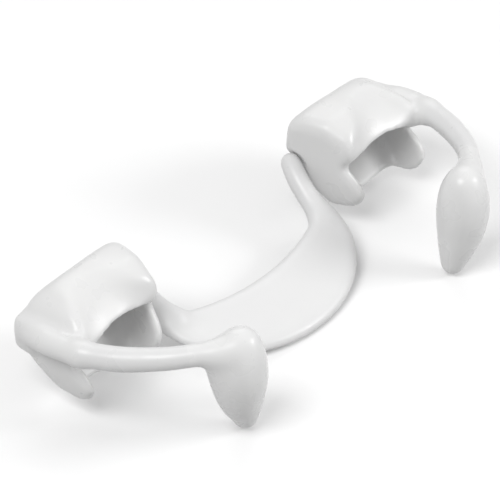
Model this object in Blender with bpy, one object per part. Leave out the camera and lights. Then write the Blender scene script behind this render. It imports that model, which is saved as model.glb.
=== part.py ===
"""Costume vampire fangs that swing down when the tongue plate is pressed.

Two molar caps stand over the back teeth. Each carries a curved arm with a fang on its front end,
and a short link rod runs from the inner side of each cap to a crescent plate for the tongue.
X is across the mouth, -Y is towards the lips, +Z is up. The part is symmetric about X = 0.
The right half is shaped, and the left half is its mirror image.
"""

import bmesh
import bpy
import numpy as np
from mathutils import Vector

MM = 0.001
# from the frame of the numbers below to one centred over the origin, lowest point at Z = 0
SHIFT = (0.0, 5.3, 6.7)
GAP = 0.3             # clearance between neighbouring pieces
ROD_SWING_ROOM = 0.25 # extra clearance beside the rod, for the cap to tilt in

# Molar cap
CAP_TOP = 7.2
CAP_CROWN = 0.75      # how far the top bulges above its edges
CAP_MID_X = 23.3
WALL = 1.3
ROOF = 1.5
OPENING_CROWN = 3.9   # height of the arch over the front opening
CAP_REAR_Y = 7.5

# Fang: centre line from its rounded top to its tip, with a radius at each point
FANG_PATH = (
    (20.2, -16.0, 6.0, 2.3),
    (20.3, -16.0, 4.4, 2.95),
    (20.3, -16.0, 2.0, 3.15),
    (20.1, -15.9, -0.6, 2.8),
    (19.6, -15.8, -2.9, 2.15),
    (19.1, -15.7, -5.0, 1.45),
)
SHOULDER_PATH = (     # the swelling under the arm, on the side of the fang
    (23.0, -14.7, 5.4, 1.5),
    (22.3, -15.0, 3.4, 1.7),
    (21.3, -15.5, 0.6, 1.8),
    (20.3, -15.7, -2.0, 1.6),
)

# Ridge on the cheek side of the cap, from the heel forward: centre line, with a radius at each point
RIDGE_PATH = (
    (30.5, 6.4, 2.9, 1.7),
    (31.2, 5.0, 3.3, 1.6),
    (31.8, 3.0, 3.75, 1.5),
    (31.8, 0.4, 4.1, 1.45),
    (31.4, -1.9, 4.25, 1.45),
)
HEEL_CENTRE = (30.4, 6.6, 2.6)   # the blocky rear end of the ridge
HEEL_HALF = (1.6, 1.6, 2.2)
HEEL_ROUND = 0.7

# Arm: centre line from its root at the front of the ridge to the fang
ARM_ROOT = (31.4, -1.9, 4.25)
ARM_PATH = (
    (31.4, -1.9, 4.25, 1.45),
    (30.9, -3.6, 4.5, 1.45),
    (29.6, -6.8, 4.9, 1.45),
    (27.4, -10.4, 5.5, 1.35),
    (25.4, -12.7, 5.9, 1.3),
    (23.3, -14.5, 6.1, 1.35),
    (21.6, -15.6, 6.0, 1.7),
)
ARM_END = (24.4, -13.5, 5.9)
ARM_END_FACING = (0.75, 0.65, -0.1)

# Link rod: centre line from the tongue plate to its root in the corner of the cap
ROD_ROOT = (15.4, 6.7, 1.2)
ROD_PATH = (
    (13.3, 0.2, -2.5, 1.2),
    (13.6, 1.4, -2.0, 1.25),
    (14.1, 3.3, -0.9, 1.3),
    (14.6, 5.0, 0.2, 1.3),
    (15.4, 6.7, 1.2, 1.25),
)

# Tongue plate
PLATE_TILT = np.radians(16.5)
PLATE_REAR = (0.5, -1.85)     # Y and Z of the upper surface at the rear corners
PLATE_THICK = 1.8
PLATE_HALF_WIDTH = 15.9
PLATE_DEPTH = 12.1
PLATE_REAR_RADIUS = 33.0
PLATE_REAR_SAG = 2.35

STEP = 0.42           # sampling distance of the shapes


def smooth_min(a, b, k):
    h = np.maximum(k - np.abs(a - b), 0.0) / k
    return np.minimum(a, b) - h * h * k * 0.25


def smooth_max(a, b, k):
    return -smooth_min(-a, -b, k)


def bump(value, centre, width):
    return np.exp(-(((value - centre) / width) ** 2))


def tube(p, path, k=0.6):
    """Distance to a tube along a smooth path of points with radii."""
    fine = spline(np.array(path, float), 6)
    best = None
    for a, b in zip(fine[:-1], fine[1:]):
        ab = b[:3] - a[:3]
        t = np.clip(((p - a[:3]) @ ab) / (ab @ ab), 0.0, 1.0)
        radius = a[3] + (b[3] - a[3]) * t
        d = np.linalg.norm(p - a[:3] - t[..., None] * ab, axis=-1) - radius
        best = d if best is None else smooth_min(best, d, k * 0.2)
    return best


def spline(points, count):
    """Catmull-Rom points through the given ones, count per span."""
    ends = np.vstack([2 * points[0] - points[1], points, 2 * points[-1] - points[-2]])
    out = []
    for i in range(1, len(ends) - 2):
        a, b, c, d = ends[i - 1], ends[i], ends[i + 1], ends[i + 2]
        for t in np.arange(count) / count:
            out.append(0.5 * (2 * b + (c - a) * t + (2 * a - 5 * b + 4 * c - d) * t**2
                              + (3 * b - a - 3 * c + d) * t**3))
    out.append(points[-1])
    return np.array(out)


def lingual_x(y, z):
    """Outer face of the cap's wall on the tongue side."""
    tuck = 0.03 * np.maximum(0.0, 0.5 - z) ** 2
    return 17.0 - 0.2 * (y + 0.9) + 0.05 * (6.5 - z) + tuck


def buccal_x(y, z):
    """Outer face of the cap's wall on the cheek side: it flares out below the top and tucks in below."""
    flare = 2.3 * (1.0 - np.exp(-np.maximum(CAP_TOP - z, 0.0) / 2.3))
    tuck = 0.06 * np.maximum(0.0, -z) ** 2
    return 28.9 + 0.06 * (y + 0.8) + flare - tuck


def distal_y(x, z):
    """Back of the cap: upright above, then slanting forward to the lower edge."""
    upright = CAP_REAR_Y + 0.9 * (1.0 - np.exp(-np.maximum(CAP_TOP - z, 0.0) / 2.0))
    slant = 8.3 - 1.05 * (1.0 - z)
    return smooth_min(upright, slant, 2.0)


def mesial_y(x, z):
    """Front edge of the two side walls: a notch and, below it, a rounded lobe."""
    tongue_side = -1.3 + 1.1 * bump(z, 2.3, 1.2) - 1.2 * bump(z, -1.2, 1.9)
    cheek_side = -1.5 + 0.15 * np.maximum(z - 3.2, 0.0) ** 2
    cheek_side = cheek_side + 1.8 * bump(z, 1.3, 1.0) - 1.0 * bump(z, -1.8, 1.5)
    side = np.clip((x - 20.0) / 7.0, 0.0, 1.0)
    return tongue_side * (1.0 - side) + cheek_side * side


def skirt_z(x, y):
    """Lower edge of the cap, scalloped like the gum line."""
    side = np.clip((x - 17.5) / 12.5, 0.0, 1.0)
    tongue_side = -3.6 - 0.3 * (y + 0.5) + 0.5 * bump(y, 4.2, 1.3)
    cheek_side = -4.2 - 0.2 * y + 0.5 * bump(y, 1.6, 0.9)
    middle = -4.3 + 0.6 * bump(side, 0.14, 0.12)
    ends = tongue_side * (1.0 - side) + cheek_side * side
    blend = bump(side, 0.5, 0.3)
    return ends * (1.0 - blend) + middle * blend


def cap_outer(p):
    x, y, z = p[..., 0], p[..., 1], p[..., 2]
    crown = CAP_CROWN * (1.0 - ((x - CAP_MID_X) / 7.0) ** 2 - ((y - 4.0) / 7.0) ** 2)
    nose_down = 0.07 * np.maximum(2.5 - y, 0.0)
    crown = crown + (0.1 - nose_down) * np.maximum(CAP_MID_X - x, 0.0)
    body = z - (CAP_TOP + crown)
    walls = smooth_max(lingual_x(y, z) - x, y - distal_y(x, z), 1.8)
    walls = smooth_max(walls, x - buccal_x(y, z), 2.0)
    body = smooth_max(body, walls, 2.0)
    # the brow: between the side walls the front of the top is scooped back
    across = np.sin(np.pi * np.clip((x - 17.5) / 12.0, 0.0, 1.0)) ** 0.8
    slope = np.clip((z - OPENING_CROWN) / (CAP_TOP - OPENING_CROWN), 0.0, 1.3)
    front = mesial_y(x, z) + across * (0.3 + 2.2 * slope)
    body = smooth_max(body, (front - y) * 0.8, 1.0)
    return smooth_max(body, skirt_z(x, y) - z, 0.9)


def cap_cavity(p):
    """The room for the tooth: open below and, under the arch, in front."""
    x, y, z = p[..., 0], p[..., 1], p[..., 2]
    room = lingual_x(y, z) + WALL - x
    room = smooth_max(room, x - buccal_x(y, z) + WALL, 2.4)
    room = smooth_max(room, y - distal_y(x, z) + WALL + 0.2, 2.4)
    side = (x - CAP_MID_X - 0.4) / 6.0
    roof = CAP_TOP - ROOF - 0.8 * side**2
    arch = OPENING_CROWN - 1.2 * side**2
    depth = 1.0 / (1.0 + np.exp(-(y - 1.4) / 0.6))
    return smooth_max(room, z - (arch * (1.0 - depth) + roof * depth), 2.0)


def rounded_box(p, centre, half, rounding):
    q = np.abs(p - np.array(centre)) - np.array(half) + rounding
    inner = np.minimum(q.max(-1), 0.0)
    return np.linalg.norm(np.maximum(q, 0.0), axis=-1) + inner - rounding


def heel(p):
    return rounded_box(p, HEEL_CENTRE, HEEL_HALF, HEEL_ROUND)


def cap(p):
    body = smooth_min(cap_outer(p), tube(p, RIDGE_PATH), 1.1)
    body = smooth_min(body, heel(p), 0.7)
    return smooth_max(body, -cap_cavity(p), 0.6)


def ball(p, centre, radius):
    return np.linalg.norm(p - np.array(centre), axis=-1) - radius


def fang(p):
    return smooth_min(tube(p, FANG_PATH), tube(p, SHOULDER_PATH), 1.2)


def arm(p):
    return tube(p, ARM_PATH)


def rod(p):
    return tube(p, ROD_PATH)


def plate(p):
    """Crescent plate, tilted down towards the front, with rounded edges."""
    c, s = np.cos(PLATE_TILT), np.sin(PLATE_TILT)
    dy = p[..., 1] - PLATE_REAR[0]
    dz = p[..., 2] - PLATE_REAR[1]
    x = np.abs(p[..., 0])
    along = dy * c + dz * s
    height = dz * c - dy * s
    r = np.hypot(x / PLATE_HALF_WIDTH, along / PLATE_DEPTH)
    front = (r - 1.0) * PLATE_DEPTH
    centre = PLATE_REAR_RADIUS - PLATE_REAR_SAG
    rear = PLATE_REAR_RADIUS - np.hypot(x, along - centre)
    outline = smooth_max(front, rear, 1.5)
    slab = np.maximum(height, -height - PLATE_THICK)
    return smooth_max(outline, slab, 1.5)


def clear_of(shape, other):
    """shape cut back so that GAP is left between it and other."""
    return smooth_max(shape, GAP - other, 0.5)


def cap_piece(p):
    """The cap, with a round seat for the root of the arm and one for the root of the rod."""
    seated = clear_of(cap(p), ball(p, ARM_ROOT, ARM_PATH[0][3]))
    seated = clear_of(seated, arm(p))
    seated = clear_of(seated, ball(p, ROD_ROOT, ROD_PATH[-1][3]))
    return clear_of(seated, rod(p) - ROD_SWING_ROOM)


def arm_piece(p):
    """The arm as far as a flat end face just short of the fang."""
    short_of_end = (p - np.array(ARM_END)) @ np.array(ARM_END_FACING)
    return clear_of(smooth_max(arm(p), -short_of_end, 0.6), fang(p))


def rod_piece(p):
    return clear_of(rod(p), plate(p))


def surface(shape, low, high, step):
    """Closed mesh of the places where shape is zero: points and four-sided faces."""
    axes = [np.arange(a - 2 * step, b + 3 * step, step) for a, b in zip(low, high)]
    grid = np.stack(np.meshgrid(*axes, indexing="ij"), axis=-1)
    value = shape(grid)
    inside = value < 0
    n = value.shape
    total = np.zeros(tuple(k - 1 for k in n) + (3,))
    count = np.zeros(tuple(k - 1 for k in n))
    corner = [(i, j, k) for i in (0, 1) for j in (0, 1) for k in (0, 1)]
    for a in corner:
        for axis in range(3):
            if a[axis]:
                continue
            b = tuple(c + (1 if i == axis else 0) for i, c in enumerate(a))
            sa = tuple(slice(c, c + k - 1) for c, k in zip(a, n))
            sb = tuple(slice(c, c + k - 1) for c, k in zip(b, n))
            crosses = inside[sa] != inside[sb]
            t = value[sa] / np.where(crosses, value[sa] - value[sb], 1.0)
            point = grid[sa] + t[..., None] * (grid[sb] - grid[sa])
            total += np.where(crosses[..., None], point, 0.0)
            count += crosses
    used = count > 0
    index = np.full(used.shape, -1)
    index[used] = np.arange(used.sum())
    points = total[used] / count[used][:, None]
    faces = []
    for axis in range(3):
        u, v = (axis + 1) % 3, (axis + 2) % 3
        sa = [slice(1, k - 1) for k in n]
        sb = list(sa)
        sa[axis] = slice(0, n[axis] - 1)
        sb[axis] = slice(1, n[axis])
        a, b = inside[tuple(sa)], inside[tuple(sb)]
        for leaving in (True, False):
            where = np.argwhere((a & ~b) if leaving else (~a & b))
            where[:, [k for k in range(3) if k != axis]] += 1
            quad = []
            for du, dv in ((0, 0), (1, 0), (1, 1), (0, 1)):
                cell = where.copy()
                cell[:, u] -= 1 - du
                cell[:, v] -= 1 - dv
                quad.append(index[tuple(cell.T)])
            quad = np.stack(quad, axis=1)
            faces.append(quad if leaving else quad[:, ::-1])
    return settle(shape, points), np.vstack(faces)


def settle(shape, points, rounds=3):
    """Moves the points onto the exact surface."""
    h = 0.01
    for _ in range(rounds):
        value = shape(points)
        slope = np.stack([(shape(points + h * e) - shape(points - h * e)) / (2 * h)
                          for e in np.eye(3)], axis=1)
        size = np.maximum((slope**2).sum(1), 0.15)
        move = -(value / size)[:, None] * slope
        length = np.linalg.norm(move, axis=1, keepdims=True)
        points = points + move * np.minimum(1.0, 0.2 / np.maximum(length, 1e-9))
    return points


def plastic(name, colour):
    m = bpy.data.materials.new(name)
    m.use_nodes = True
    shader = m.node_tree.nodes["Principled BSDF"]
    shader.inputs["Base Color"].default_value = (*colour, 1.0)
    shader.inputs["Roughness"].default_value = 0.28
    return m


def thinned(name, points, faces, ratio):
    """The mesh with fewer faces."""
    mesh = bpy.data.meshes.new(name + "_fine")
    mesh.from_pydata((points * MM).tolist(), [], faces.tolist())
    holder = bpy.data.objects.new(name + "_fine", mesh)
    bpy.context.scene.collection.objects.link(holder)
    modifier = holder.modifiers.new("thin", "DECIMATE")
    modifier.ratio = ratio
    bpy.context.view_layer.update()
    graph = bpy.context.evaluated_depsgraph_get()
    lighter = bpy.data.meshes.new_from_object(holder.evaluated_get(graph))
    bpy.data.objects.remove(holder)
    return lighter


def is_closed(mesh):
    b = bmesh.new()
    b.from_mesh(mesh)
    closed = all(v.is_manifold for v in b.verts) and all(len(e.link_faces) == 2 for e in b.edges)
    b.free()
    return closed


def shaped(name, shape, low, high, ratio):
    """A closed mesh of shape, on the first grid position that gives a clean one."""
    for attempt in range(24):
        shift = STEP * 0.13 * attempt
        points, faces = surface(shape, np.array(low) - shift, high, STEP)
        points += np.array(SHIFT)
        mesh = thinned(name, points, faces, ratio)
        if is_closed(mesh):
            return mesh
    raise ValueError(f"{name} has no clean mesh")


def add_piece(name, mesh, colour, pivot=None, mirrored=False):
    """One named object with its origin on the axis it turns about."""
    mesh = mesh.copy()
    mesh.name = name
    side = -1.0 if mirrored else 1.0
    centre = Vector((0.0, 0.0, 0.0))
    if pivot:
        centre = (Vector(pivot) + Vector(SHIFT)) * MM
        centre.x *= side
    b = bmesh.new()
    b.from_mesh(mesh)
    for v in b.verts:
        v.co.x *= side
        v.co -= centre
    if mirrored:
        bmesh.ops.reverse_faces(b, faces=b.faces)
    b.to_mesh(mesh)
    b.free()
    mesh.materials.clear()
    mesh.materials.append(plastic(name, colour))
    mesh.polygons.foreach_set("use_smooth", [True] * len(mesh.polygons))
    piece = bpy.data.objects.new(name, mesh)
    piece.location = centre
    bpy.context.scene.collection.objects.link(piece)


def main():
    for o in list(bpy.data.objects):
        bpy.data.objects.remove(o)
    sided = (
        ("molar_cap", cap_piece, (14, -4, -6), (35, 10, 9), 0.17, (0.90, 0.90, 0.89), ROD_ROOT),
        ("fang_arm", arm_piece, (19, -19, -1), (35, 1, 9), 0.22, (0.89, 0.89, 0.89), ARM_ROOT),
        ("fang", fang, (15, -20, -8), (24, -12, 10), 0.20, (0.91, 0.91, 0.90), ARM_ROOT),
        ("link_rod", rod_piece, (11, -3, -5), (20, 10, 5), 0.28, (0.88, 0.88, 0.88), None),
    )
    for name, shape, low, high, ratio, colour, pivot in sided:
        mesh = shaped(name, shape, low, high, ratio)
        add_piece(f"right_{name}", mesh, colour, pivot)
        add_piece(f"left_{name}", mesh, colour, pivot, mirrored=True)
    mesh = shaped("tongue_plate", plate, (-17, -13, -9), (17, 3, 0), 0.13)
    add_piece("tongue_plate", mesh, (0.90, 0.90, 0.90))


main()
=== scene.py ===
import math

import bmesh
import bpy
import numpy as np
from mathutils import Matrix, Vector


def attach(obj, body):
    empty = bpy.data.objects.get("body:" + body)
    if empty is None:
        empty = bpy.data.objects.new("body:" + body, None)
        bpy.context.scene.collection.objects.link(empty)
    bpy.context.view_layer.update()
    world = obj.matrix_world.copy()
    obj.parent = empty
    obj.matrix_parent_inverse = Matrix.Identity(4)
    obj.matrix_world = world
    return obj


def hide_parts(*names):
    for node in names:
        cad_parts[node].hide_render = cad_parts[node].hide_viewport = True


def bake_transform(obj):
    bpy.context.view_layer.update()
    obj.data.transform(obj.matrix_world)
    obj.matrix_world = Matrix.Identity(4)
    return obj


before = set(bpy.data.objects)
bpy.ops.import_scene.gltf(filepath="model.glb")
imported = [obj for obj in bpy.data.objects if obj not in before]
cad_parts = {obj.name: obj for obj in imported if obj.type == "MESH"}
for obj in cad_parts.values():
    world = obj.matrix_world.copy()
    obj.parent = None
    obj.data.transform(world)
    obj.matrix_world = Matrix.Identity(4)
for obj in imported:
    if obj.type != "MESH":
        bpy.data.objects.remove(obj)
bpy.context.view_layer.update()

# Costume vampire fangs: one glossy white moulding, seen from above the wearer's left cheek.
#
# The shapes are the CAD's own shape functions, sampled more finely and without the CAD's
# clearances, so caps, arms, fangs, rods and plate flow into each other as moulded plastic does.
# Each flowing mesh is then divided at the CAD's seams; the caps ride the cap bodies, the fangs the arm
# bodies, plate and rods the plate, and the arm pieces are left fixed in place.

MM = 0.001
SHIFT = (0.0, 5.3, 6.7)   # from the frame of the numbers below, in millimetres, to the CAD's

# Molar cap
CAP_TOP = 7.2
CAP_CROWN = 0.75      # how far the top bulges above its edges
CAP_MID_X = 23.3
WALL = 1.3
ROOF = 1.5
OPENING_CROWN = 3.9   # height of the arch over the front opening
CAP_REAR_Y = 7.5

# Fang: centre line from its rounded top to its tip, with a radius at each point
FANG_PATH = (
    (20.2, -16.0, 6.0, 2.3),
    (20.3, -16.0, 4.4, 2.95),
    (20.3, -16.0, 2.0, 3.15),
    (20.1, -15.9, -0.6, 2.8),
    (19.6, -15.8, -2.9, 2.15),
    (19.1, -15.7, -5.0, 1.45),
)
SHOULDER_PATH = (     # the swelling under the arm, on the side of the fang
    (23.0, -14.7, 5.4, 1.5),
    (22.3, -15.0, 3.4, 1.7),
    (21.3, -15.5, 0.6, 1.8),
    (20.3, -15.7, -2.0, 1.6),
)

# Ridge on the cheek side of the cap, from the heel forward: centre line, with a radius at each point
RIDGE_PATH = (
    (30.5, 6.4, 2.9, 1.7),
    (31.2, 5.0, 3.3, 1.6),
    (31.8, 3.0, 3.75, 1.5),
    (31.8, 0.4, 4.1, 1.45),
    (31.4, -1.9, 4.25, 1.45),
)
HEEL_CENTRE = (30.4, 6.6, 2.6)   # the blocky rear end of the ridge
HEEL_HALF = (1.6, 1.6, 2.2)
HEEL_ROUND = 0.7

# Arm: centre line from its root at the front of the ridge to the fang
ARM_PATH = (
    (31.4, -1.9, 4.25, 1.45),
    (30.9, -3.6, 4.5, 1.45),
    (29.6, -6.8, 4.9, 1.45),
    (27.4, -10.4, 5.5, 1.35),
    (25.4, -12.7, 5.9, 1.3),
    (23.3, -14.5, 6.1, 1.35),
    (21.6, -15.6, 6.0, 1.7),
)

# Link rod: centre line from the tongue plate to its root in the corner of the cap
ROD_PATH = (
    (13.3, 0.2, -2.5, 1.2),
    (13.6, 1.4, -2.0, 1.25),
    (14.1, 3.3, -0.9, 1.3),
    (14.6, 5.0, 0.2, 1.3),
    (15.4, 6.7, 1.2, 1.25),
)

# Tongue plate
PLATE_TILT = np.radians(16.5)
PLATE_REAR = (0.5, -1.85)     # Y and Z of the upper surface at the rear corners
PLATE_THICK = 1.8
PLATE_HALF_WIDTH = 15.9
PLATE_DEPTH = 12.1
PLATE_REAR_RADIUS = 33.0
PLATE_REAR_SAG = 2.35


def smooth_min(a, b, k):
    h = np.maximum(k - np.abs(a - b), 0.0) / k
    return np.minimum(a, b) - h * h * k * 0.25


def smooth_max(a, b, k):
    return -smooth_min(-a, -b, k)


def bump(value, centre, width):
    return np.exp(-(((value - centre) / width) ** 2))


def tube(p, path, k=0.6):
    """Distance to a tube along a smooth path of points with radii."""
    fine = spline(np.array(path, float), 6)
    best = None
    for a, b in zip(fine[:-1], fine[1:]):
        ab = b[:3] - a[:3]
        t = np.clip(((p - a[:3]) @ ab) / (ab @ ab), 0.0, 1.0)
        radius = a[3] + (b[3] - a[3]) * t
        d = np.linalg.norm(p - a[:3] - t[..., None] * ab, axis=-1) - radius
        best = d if best is None else smooth_min(best, d, k * 0.2)
    return best


def spline(points, count):
    """Catmull-Rom points through the given ones, count per span."""
    ends = np.vstack([2 * points[0] - points[1], points, 2 * points[-1] - points[-2]])
    out = []
    for i in range(1, len(ends) - 2):
        a, b, c, d = ends[i - 1], ends[i], ends[i + 1], ends[i + 2]
        for t in np.arange(count) / count:
            out.append(0.5 * (2 * b + (c - a) * t + (2 * a - 5 * b + 4 * c - d) * t**2
                              + (3 * b - a - 3 * c + d) * t**3))
    out.append(points[-1])
    return np.array(out)


def lingual_x(y, z):
    """Outer face of the cap's wall on the tongue side."""
    tuck = 0.03 * np.maximum(0.0, 0.5 - z) ** 2
    return 17.0 - 0.2 * (y + 0.9) + 0.05 * (6.5 - z) + tuck


def buccal_x(y, z):
    """Outer face of the cap's wall on the cheek side: it flares out below the top and tucks in below."""
    flare = 2.3 * (1.0 - np.exp(-np.maximum(CAP_TOP - z, 0.0) / 2.3))
    tuck = 0.06 * np.maximum(0.0, -z) ** 2
    return 28.9 + 0.06 * (y + 0.8) + flare - tuck


def distal_y(x, z):
    """Back of the cap: upright above, then slanting forward to the lower edge."""
    upright = CAP_REAR_Y + 0.9 * (1.0 - np.exp(-np.maximum(CAP_TOP - z, 0.0) / 2.0))
    slant = 8.3 - 1.05 * (1.0 - z)
    return smooth_min(upright, slant, 2.0)


def mesial_y(x, z):
    """Front edge of the two side walls: a notch and, below it, a rounded lobe."""
    tongue_side = -1.3 + 1.1 * bump(z, 2.3, 1.2) - 1.2 * bump(z, -1.2, 1.9)
    cheek_side = -1.5 + 0.15 * np.maximum(z - 3.2, 0.0) ** 2
    cheek_side = cheek_side + 1.8 * bump(z, 1.3, 1.0) - 1.0 * bump(z, -1.8, 1.5)
    side = np.clip((x - 20.0) / 7.0, 0.0, 1.0)
    return tongue_side * (1.0 - side) + cheek_side * side


def skirt_z(x, y):
    """Lower edge of the cap, scalloped like the gum line."""
    side = np.clip((x - 17.5) / 12.5, 0.0, 1.0)
    tongue_side = -3.6 - 0.3 * (y + 0.5) + 0.5 * bump(y, 4.2, 1.3)
    cheek_side = -4.2 - 0.2 * y + 0.5 * bump(y, 1.6, 0.9)
    middle = -4.3 + 0.6 * bump(side, 0.14, 0.12)
    ends = tongue_side * (1.0 - side) + cheek_side * side
    blend = bump(side, 0.5, 0.3)
    return ends * (1.0 - blend) + middle * blend


def cap_outer(p):
    x, y, z = p[..., 0], p[..., 1], p[..., 2]
    crown = CAP_CROWN * (1.0 - ((x - CAP_MID_X) / 7.0) ** 2 - ((y - 4.0) / 7.0) ** 2)
    nose_down = 0.07 * np.maximum(2.5 - y, 0.0)
    crown = crown + (0.1 - nose_down) * np.maximum(CAP_MID_X - x, 0.0)
    body = z - (CAP_TOP + crown)
    walls = smooth_max(lingual_x(y, z) - x, y - distal_y(x, z), 1.8)
    walls = smooth_max(walls, x - buccal_x(y, z), 2.0)
    body = smooth_max(body, walls, 2.0)
    # the brow: between the side walls the front of the top is scooped back
    across = np.sin(np.pi * np.clip((x - 17.5) / 12.0, 0.0, 1.0)) ** 0.8
    slope = np.clip((z - OPENING_CROWN) / (CAP_TOP - OPENING_CROWN), 0.0, 1.3)
    front = mesial_y(x, z) + across * (0.3 + 2.2 * slope)
    body = smooth_max(body, (front - y) * 0.8, 1.0)
    return smooth_max(body, skirt_z(x, y) - z, 0.9)


def cap_cavity(p):
    """The room for the tooth: open below and, under the arch, in front."""
    x, y, z = p[..., 0], p[..., 1], p[..., 2]
    room = lingual_x(y, z) + WALL - x
    room = smooth_max(room, x - buccal_x(y, z) + WALL, 2.4)
    room = smooth_max(room, y - distal_y(x, z) + WALL + 0.2, 2.4)
    side = (x - CAP_MID_X - 0.4) / 6.0
    roof = CAP_TOP - ROOF - 0.8 * side**2
    arch = OPENING_CROWN - 1.2 * side**2
    depth = 1.0 / (1.0 + np.exp(-(y - 1.4) / 0.6))
    return smooth_max(room, z - (arch * (1.0 - depth) + roof * depth), 2.0)


def rounded_box(p, centre, half, rounding):
    q = np.abs(p - np.array(centre)) - np.array(half) + rounding
    inner = np.minimum(q.max(-1), 0.0)
    return np.linalg.norm(np.maximum(q, 0.0), axis=-1) + inner - rounding


def heel(p):
    return rounded_box(p, HEEL_CENTRE, HEEL_HALF, HEEL_ROUND)


def cap(p):
    body = smooth_min(cap_outer(p), tube(p, RIDGE_PATH), 1.1)
    body = smooth_min(body, heel(p), 0.7)
    return smooth_max(body, -cap_cavity(p), 0.6)


def fang(p):
    return smooth_min(tube(p, FANG_PATH), tube(p, SHOULDER_PATH), 1.2)


def arm(p):
    return tube(p, ARM_PATH)


def rod(p):
    return tube(p, ROD_PATH)


def plate(p):
    """Crescent plate, tilted down towards the front, with rounded edges."""
    c, s = np.cos(PLATE_TILT), np.sin(PLATE_TILT)
    dy = p[..., 1] - PLATE_REAR[0]
    dz = p[..., 2] - PLATE_REAR[1]
    x = np.abs(p[..., 0])
    along = dy * c + dz * s
    height = dz * c - dy * s
    r = np.hypot(x / PLATE_HALF_WIDTH, along / PLATE_DEPTH)
    front = (r - 1.0) * PLATE_DEPTH
    centre = PLATE_REAR_RADIUS - PLATE_REAR_SAG
    rear = PLATE_REAR_RADIUS - np.hypot(x, along - centre)
    outline = smooth_max(front, rear, 1.5)
    slab = np.maximum(height, -height - PLATE_THICK)
    return smooth_max(outline, slab, 1.5)


def surface(shape, low, high, step):
    """Closed mesh of the places where shape is zero: points and four-sided faces."""
    axes = [np.arange(a - 2 * step, b + 3 * step, step) for a, b in zip(low, high)]
    grid = np.stack(np.meshgrid(*axes, indexing="ij"), axis=-1)
    value = shape(grid)
    inside = value < 0
    n = value.shape
    total = np.zeros(tuple(k - 1 for k in n) + (3,))
    count = np.zeros(tuple(k - 1 for k in n))
    corner = [(i, j, k) for i in (0, 1) for j in (0, 1) for k in (0, 1)]
    for a in corner:
        for axis in range(3):
            if a[axis]:
                continue
            b = tuple(c + (1 if i == axis else 0) for i, c in enumerate(a))
            sa = tuple(slice(c, c + k - 1) for c, k in zip(a, n))
            sb = tuple(slice(c, c + k - 1) for c, k in zip(b, n))
            crosses = inside[sa] != inside[sb]
            t = value[sa] / np.where(crosses, value[sa] - value[sb], 1.0)
            point = grid[sa] + t[..., None] * (grid[sb] - grid[sa])
            total += np.where(crosses[..., None], point, 0.0)
            count += crosses
    used = count > 0
    index = np.full(used.shape, -1)
    index[used] = np.arange(used.sum())
    points = total[used] / count[used][:, None]
    faces = []
    for axis in range(3):
        u, v = (axis + 1) % 3, (axis + 2) % 3
        sa = [slice(1, k - 1) for k in n]
        sb = list(sa)
        sa[axis] = slice(0, n[axis] - 1)
        sb[axis] = slice(1, n[axis])
        a, b = inside[tuple(sa)], inside[tuple(sb)]
        for leaving in (True, False):
            where = np.argwhere((a & ~b) if leaving else (~a & b))
            where[:, [k for k in range(3) if k != axis]] += 1
            quad = []
            for du, dv in ((0, 0), (1, 0), (1, 1), (0, 1)):
                cell = where.copy()
                cell[:, u] -= 1 - du
                cell[:, v] -= 1 - dv
                quad.append(index[tuple(cell.T)])
            quad = np.stack(quad, axis=1)
            faces.append(quad if leaving else quad[:, ::-1])
    return settle(shape, points), np.vstack(faces)


def settle(shape, points, rounds=3):
    """Moves the points onto the exact surface."""
    h = 0.01
    for _ in range(rounds):
        value = shape(points)
        slope = np.stack([(shape(points + h * e) - shape(points - h * e)) / (2 * h)
                          for e in np.eye(3)], axis=1)
        size = np.maximum((slope**2).sum(1), 0.15)
        move = -(value / size)[:, None] * slope
        length = np.linalg.norm(move, axis=1, keepdims=True)
        points = points + move * np.minimum(1.0, 0.2 / np.maximum(length, 1e-9))
    return points

# Seen shapes
SEEN_STEP = 0.27      # sampling distance of the seen meshes
SMOOTHING = 5         # rounds that even out the ripples along the tubes
ARM_FILLET = 1.2      # how softly the arm runs into the fang
CAP_FILLET = 1.0      # how softly the ridge runs into the arm
ROD_FILLET = 1.5      # how softly the rod rises from the plate
ROD_GROOVE = 0.22     # width of the groove between rod and cap
GROOVE_EDGE = 0.35    # how softly that groove meets the cap's faces


def side_moulding(p):
    """Cap, arm and fang of the right side as one flowing shape."""
    upper = smooth_min(arm(p), fang(p), ARM_FILLET)
    body = smooth_max(cap(p), ROD_GROOVE - rod(p), GROOVE_EDGE)
    return smooth_min(body, upper, CAP_FILLET)


def plate_moulding(p):
    """Plate and both rods as one flowing shape."""
    return smooth_min(plate(p), rod_both(p), ROD_FILLET)


def rod_both(p):
    """The rods of both sides, which mirror each other."""
    mirrored = p.copy()
    mirrored[..., 0] = np.abs(mirrored[..., 0])
    return rod(mirrored)


def flowing_mesh(shape, low, high):
    """bmesh of a shape, in metres in the frame of the part."""
    points, faces = surface(shape, low, high, SEEN_STEP)
    points = (points + np.array(SHIFT)) * MM
    b = bmesh.new()
    made = [b.verts.new(p) for p in points]
    for face in faces:
        b.faces.new([made[i] for i in face])
    for _ in range(SMOOTHING):
        bmesh.ops.smooth_vert(b, verts=b.verts, factor=0.5, use_axis_x=True,
                              use_axis_y=True, use_axis_z=True)
    b.normal_update()
    return b


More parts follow.
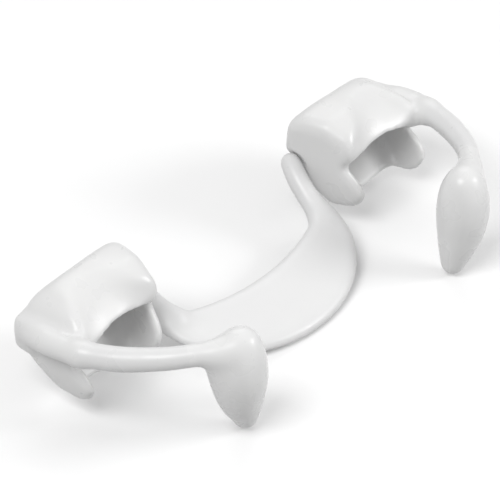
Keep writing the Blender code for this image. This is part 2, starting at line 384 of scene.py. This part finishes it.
def cut(b, place, direction, reach):
    """Divides the mesh at a plane, but only within reach of the place. Both sides get a closing face."""
    place = (Vector(place) + Vector(SHIFT)) * MM
    near = [f for f in b.faces if (f.calc_center_median() - place).length < reach * MM]
    around = {v for f in near for v in f.verts}, {e for f in near for e in f.edges}
    halves = bmesh.ops.bisect_plane(b, geom=near + list(around[0]) + list(around[1]),
                                    plane_co=place, plane_no=direction, dist=1e-8)
    seam = [g for g in halves["geom_cut"] if isinstance(g, bmesh.types.BMEdge)]
    bmesh.ops.split_edges(b, edges=seam)
    open_edges = [e for e in b.edges if len(e.link_faces) == 1]
    for e in open_edges:
        e.smooth = False
    closed = bmesh.ops.holes_fill(b, edges=open_edges, sides=0)["faces"]
    for lid in closed:
        beside = lid.loops[0].link_loop_radial_next
        if beside.vert == lid.loops[0].vert:
            lid.normal_flip()
    bmesh.ops.triangulate(b, faces=closed)


def islands(b):
    """The separate bodies of a mesh, as lists of faces."""
    left = set(b.faces)
    found = []
    while left:
        start = left.pop()
        group = [start]
        waiting = [start]
        while waiting:
            for e in waiting.pop().edges:
                for f in e.link_faces:
                    if f in left:
                        left.discard(f)
                        group.append(f)
                        waiting.append(f)
        found.append(group)
    return found


def piece_from(b, faces, name, mirrored=False):
    """A new object made of some of the mesh's faces."""
    verts = {}
    out = bmesh.new()
    side = -1.0 if mirrored else 1.0
    for f in faces:
        for v in f.verts:
            if v not in verts:
                verts[v] = out.verts.new((v.co.x * side, v.co.y, v.co.z))
    for f in faces:
        ring = [verts[v] for v in f.verts]
        out.faces.new(ring[::-1] if mirrored else ring)
    sharp = {frozenset((verts[e.verts[0]], verts[e.verts[1]]))
             for f in faces for e in f.edges if not e.smooth}
    for e in out.edges:
        e.smooth = frozenset(e.verts) not in sharp
    mesh = bpy.data.meshes.new(name)
    out.to_mesh(mesh)
    out.free()
    mesh.polygons.foreach_set("use_smooth", [True] * len(mesh.polygons))
    piece = bpy.data.objects.new(name, mesh)
    bpy.context.scene.collection.objects.link(piece)
    return piece


def nearest_group(groups, place):
    place = (Vector(place) + Vector(SHIFT)) * MM
    return min(groups, key=lambda g: min((f.calc_center_median() - place).length for f in g[::7]))


# Materials

def node_of(tree, kind, **inputs):
    node = tree.nodes.new(kind)
    for key, value in inputs.items():
        node.inputs[key.replace("_", " ")].default_value = value
    return node


def moulded_plastic(name, light, dark, roughness, waviness, grain):
    """Glossy white plastic, a little uneven in tone, gloss and surface as moulded parts are."""
    m = bpy.data.materials.new(name)
    m.use_nodes = True
    tree = m.node_tree
    link = tree.links.new
    shader = tree.nodes["Principled BSDF"]
    shader.inputs["IOR"].default_value = 1.49
    place = tree.nodes.new("ShaderNodeTexCoord").outputs["Object"]

    cloud = node_of(tree, "ShaderNodeTexNoise", Scale=150.0, Detail=3.0, Roughness=0.5)
    link(place, cloud.inputs["Vector"])
    tone = node_of(tree, "ShaderNodeMix")
    tone.data_type = "RGBA"
    tone.inputs[6].default_value = (*dark, 1.0)
    tone.inputs[7].default_value = (*light, 1.0)
    link(cloud.outputs["Fac"], tone.inputs[0])
    link(tone.outputs[2], shader.inputs["Base Color"])

    flow = node_of(tree, "ShaderNodeTexNoise", Scale=420.0, Detail=2.0, Roughness=0.45)
    link(place, flow.inputs["Vector"])
    gloss = node_of(tree, "ShaderNodeMapRange", From_Min=0.3, From_Max=0.7,
                    To_Min=roughness * 0.8, To_Max=roughness * 1.3)
    link(flow.outputs["Fac"], gloss.inputs["Value"])
    link(gloss.outputs["Result"], shader.inputs["Roughness"])

    wave = node_of(tree, "ShaderNodeTexNoise", Scale=230.0, Detail=1.0, Roughness=0.4)
    link(place, wave.inputs["Vector"])
    fine = node_of(tree, "ShaderNodeTexNoise", Scale=2600.0, Detail=2.0, Roughness=0.5)
    link(place, fine.inputs["Vector"])
    rough_skin = node_of(tree, "ShaderNodeBump", Strength=grain, Distance=0.00004)
    link(fine.outputs["Fac"], rough_skin.inputs["Height"])
    waves = node_of(tree, "ShaderNodeBump", Strength=waviness, Distance=0.0008)
    link(wave.outputs["Fac"], waves.inputs["Height"])
    link(rough_skin.outputs["Normal"], waves.inputs["Normal"])
    link(waves.outputs["Normal"], shader.inputs["Normal"])
    return m


def paint(piece, material):
    piece.data.materials.clear()
    piece.data.materials.append(material)


PLASTICS = {
    "cap": moulded_plastic("cap_plastic", (0.76, 0.76, 0.755), (0.73, 0.73, 0.73), 0.31, 0.10, 0.10),
    "arm": moulded_plastic("arm_plastic", (0.75, 0.75, 0.75), (0.72, 0.72, 0.72), 0.32, 0.08, 0.10),
    "fang": moulded_plastic("fang_plastic", (0.77, 0.77, 0.765), (0.75, 0.75, 0.75), 0.28, 0.04, 0.05),
    "rod": moulded_plastic("rod_plastic", (0.75, 0.75, 0.75), (0.72, 0.72, 0.72), 0.32, 0.08, 0.10),
    "plate": moulded_plastic("plate_plastic", (0.76, 0.76, 0.76), (0.73, 0.73, 0.73), 0.36, 0.08, 0.15),
}


# Where the flowing shapes are divided: a place on the centre line, the direction along it, and a reach
ARM_ROOT_CUT = ((31.2, -2.7, 4.4), (-0.1, -1.0, 0.08), 3.0)
FANG_CUT = ((25.4, -12.7, 5.9), (-0.75, -0.65, 0.1), 2.6)
ROD_CUT = ((14.0, 3.1, -1.0), (0.1, 0.85, 0.5), 2.6)


def build_sides():
    """Cap, arm and fang of each side, the left ones mirrored."""
    b = flowing_mesh(side_moulding, (14, -20, -8), (35, 10, 9))
    cut(b, *ARM_ROOT_CUT)
    cut(b, *FANG_CUT)
    groups = islands(b)
    parts = (
        ("cap", (23.0, 3.0, 7.2), "molar_cap"),
        ("arm", (29.6, -6.8, 6.3), "fang_arm"),
        ("fang", (20.2, -17.0, 0.0), "fang"),
    )
    for mirrored, side in ((False, "right"), (True, "left")):
        for kind, place, node in parts:
            group = nearest_group(groups, place)
            piece = piece_from(b, group, f"{side}_{node}_moulding", mirrored)
            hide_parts(f"{side}_{node}")
            paint(piece, PLASTICS[kind])
            ride_side(piece, kind, side)
    b.free()


def ride_side(piece, kind, side):
    """Cap and fang ride whole; the arm piece is only fixed in place and rides no body."""
    if kind == "cap":
        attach(piece, f"{side}_cap")
    elif kind == "fang":
        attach(piece, f"{side}_arm")
    else:
        x, y, z = ARM_ROOT_CUT[0]
        if side == "left":
            x = -x
        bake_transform(piece)


def build_plate():
    """The plate and the two rods."""
    b = flowing_mesh(plate_moulding, (-20, -13, -9), (20, 10, 5))
    for sign in (1.0, -1.0):
        place, direction, reach = ROD_CUT
        cut(b, (place[0] * sign, place[1], place[2]),
            (direction[0] * sign, direction[1], direction[2]), reach)
    groups = islands(b)
    parts = (
        ("plate", (0.0, -6.0, -2.8), "tongue_plate"),
        ("rod", (15.0, 6.0, 2.4), "right_link_rod"),
        ("rod", (-15.0, 6.0, 2.4), "left_link_rod"),
    )
    for kind, place, node in parts:
        piece = piece_from(b, nearest_group(groups, place), f"{node}_moulding")
        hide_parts(node)
        paint(piece, PLASTICS[kind])
        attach(piece, "plate")
    b.free()


# Stage, light and camera

VIEW_AZIMUTH = math.radians(-49.31)
VIEW_ELEVATION = math.radians(37.0)
VIEW_DISTANCE = 0.4417
VIEW_TARGET = Vector((0.0, 5.3, 6.7)) * MM
LENS = 268.56
SENSOR = 36.0

WORLD_ABOVE = 0.52   # strength of the white surroundings
WORLD_BELOW = 0.46
SOFTBOXES = (        # name, azimuth, elevation, distance, width, height, power
    ("key_right", 40, 26, 0.6, 0.24, 0.20, 1.35),
    ("top_left", -84, 54, 0.6, 0.34, 0.26, 1.8),
    ("back", 132, 45, 0.7, 0.5, 0.3, 0.6),
)
FLOOR_HALF = 1.5
FLOOR_DARK = (0.93, 0.93, 0.93, 1.0)
FLOOR_LIGHT = (0.95, 0.95, 0.95, 1.0)


def towards(azimuth, elevation):
    """Direction of a place round the object, as the camera's angles are given."""
    return Vector((math.sin(azimuth) * math.cos(elevation),
                   -math.cos(azimuth) * math.cos(elevation),
                   math.sin(elevation)))


def aim(obj, target):
    obj.rotation_mode = "QUATERNION"
    obj.rotation_quaternion = (target - obj.location).to_track_quat("-Z", "Y")


def build_camera():
    data = bpy.data.cameras.new("camera")
    data.lens = LENS
    data.sensor_width = SENSOR
    data.clip_start = 0.01
    data.clip_end = 20.0
    camera = bpy.data.objects.new("camera", data)
    bpy.context.scene.collection.objects.link(camera)
    camera.location = VIEW_TARGET + towards(VIEW_AZIMUTH, VIEW_ELEVATION) * VIEW_DISTANCE
    aim(camera, VIEW_TARGET)
    bpy.context.scene.camera = camera


def softbox(name, azimuth, elevation, distance, width, height, power):
    data = bpy.data.lights.new(name, "AREA")
    data.shape = "RECTANGLE"
    data.size = width
    data.size_y = height
    data.energy = power
    lamp = bpy.data.objects.new(name, data)
    bpy.context.scene.collection.objects.link(lamp)
    lamp.location = VIEW_TARGET + towards(math.radians(azimuth), math.radians(elevation)) * distance
    aim(lamp, VIEW_TARGET)


def build_floor():
    b = bmesh.new()
    bmesh.ops.create_grid(b, x_segments=8, y_segments=8, size=FLOOR_HALF)
    mesh = bpy.data.meshes.new("floor")
    b.to_mesh(mesh)
    b.free()
    floor = bpy.data.objects.new("floor", mesh)
    bpy.context.scene.collection.objects.link(floor)
    m = bpy.data.materials.new("pale_floor")
    m.use_nodes = True
    tree = m.node_tree
    shader = tree.nodes["Principled BSDF"]
    shader.inputs["Roughness"].default_value = 0.9
    shader.inputs["Specular IOR Level"].default_value = 0.1
    place = tree.nodes.new("ShaderNodeTexCoord").outputs["Object"]
    cloud = node_of(tree, "ShaderNodeTexNoise", Scale=6.0, Detail=2.0)
    tree.links.new(place, cloud.inputs["Vector"])
    tone = node_of(tree, "ShaderNodeMix")
    tone.data_type = "RGBA"
    tone.inputs[6].default_value = FLOOR_DARK
    tone.inputs[7].default_value = FLOOR_LIGHT
    tree.links.new(cloud.outputs["Fac"], tone.inputs[0])
    tree.links.new(tone.outputs[2], shader.inputs["Base Color"])
    mesh.materials.append(m)
    floor.visible_diffuse = False


def build_world(above, below):
    """White surroundings, brighter above the horizon than below it."""
    world = bpy.data.worlds.new("studio")
    world.use_nodes = True
    tree = world.node_tree
    background = tree.nodes["Background"]
    background.inputs["Color"].default_value = (1.0, 1.0, 1.0, 1.0)
    direction = tree.nodes.new("ShaderNodeTexCoord").outputs["Generated"]
    split = tree.nodes.new("ShaderNodeSeparateXYZ")
    tree.links.new(direction, split.inputs["Vector"])
    level = node_of(tree, "ShaderNodeMapRange", From_Min=-0.35, From_Max=0.35,
                    To_Min=below, To_Max=above)
    level.interpolation_type = "SMOOTHSTEP"
    tree.links.new(split.outputs["Z"], level.inputs["Value"])
    tree.links.new(level.outputs["Result"], background.inputs["Strength"])
    bpy.context.scene.world = world


build_sides()
build_plate()
build_floor()
build_world(above=WORLD_ABOVE, below=WORLD_BELOW)
for row in SOFTBOXES:
    softbox(*row)
build_camera()
bpy.context.scene.view_settings.view_transform = "Standard"
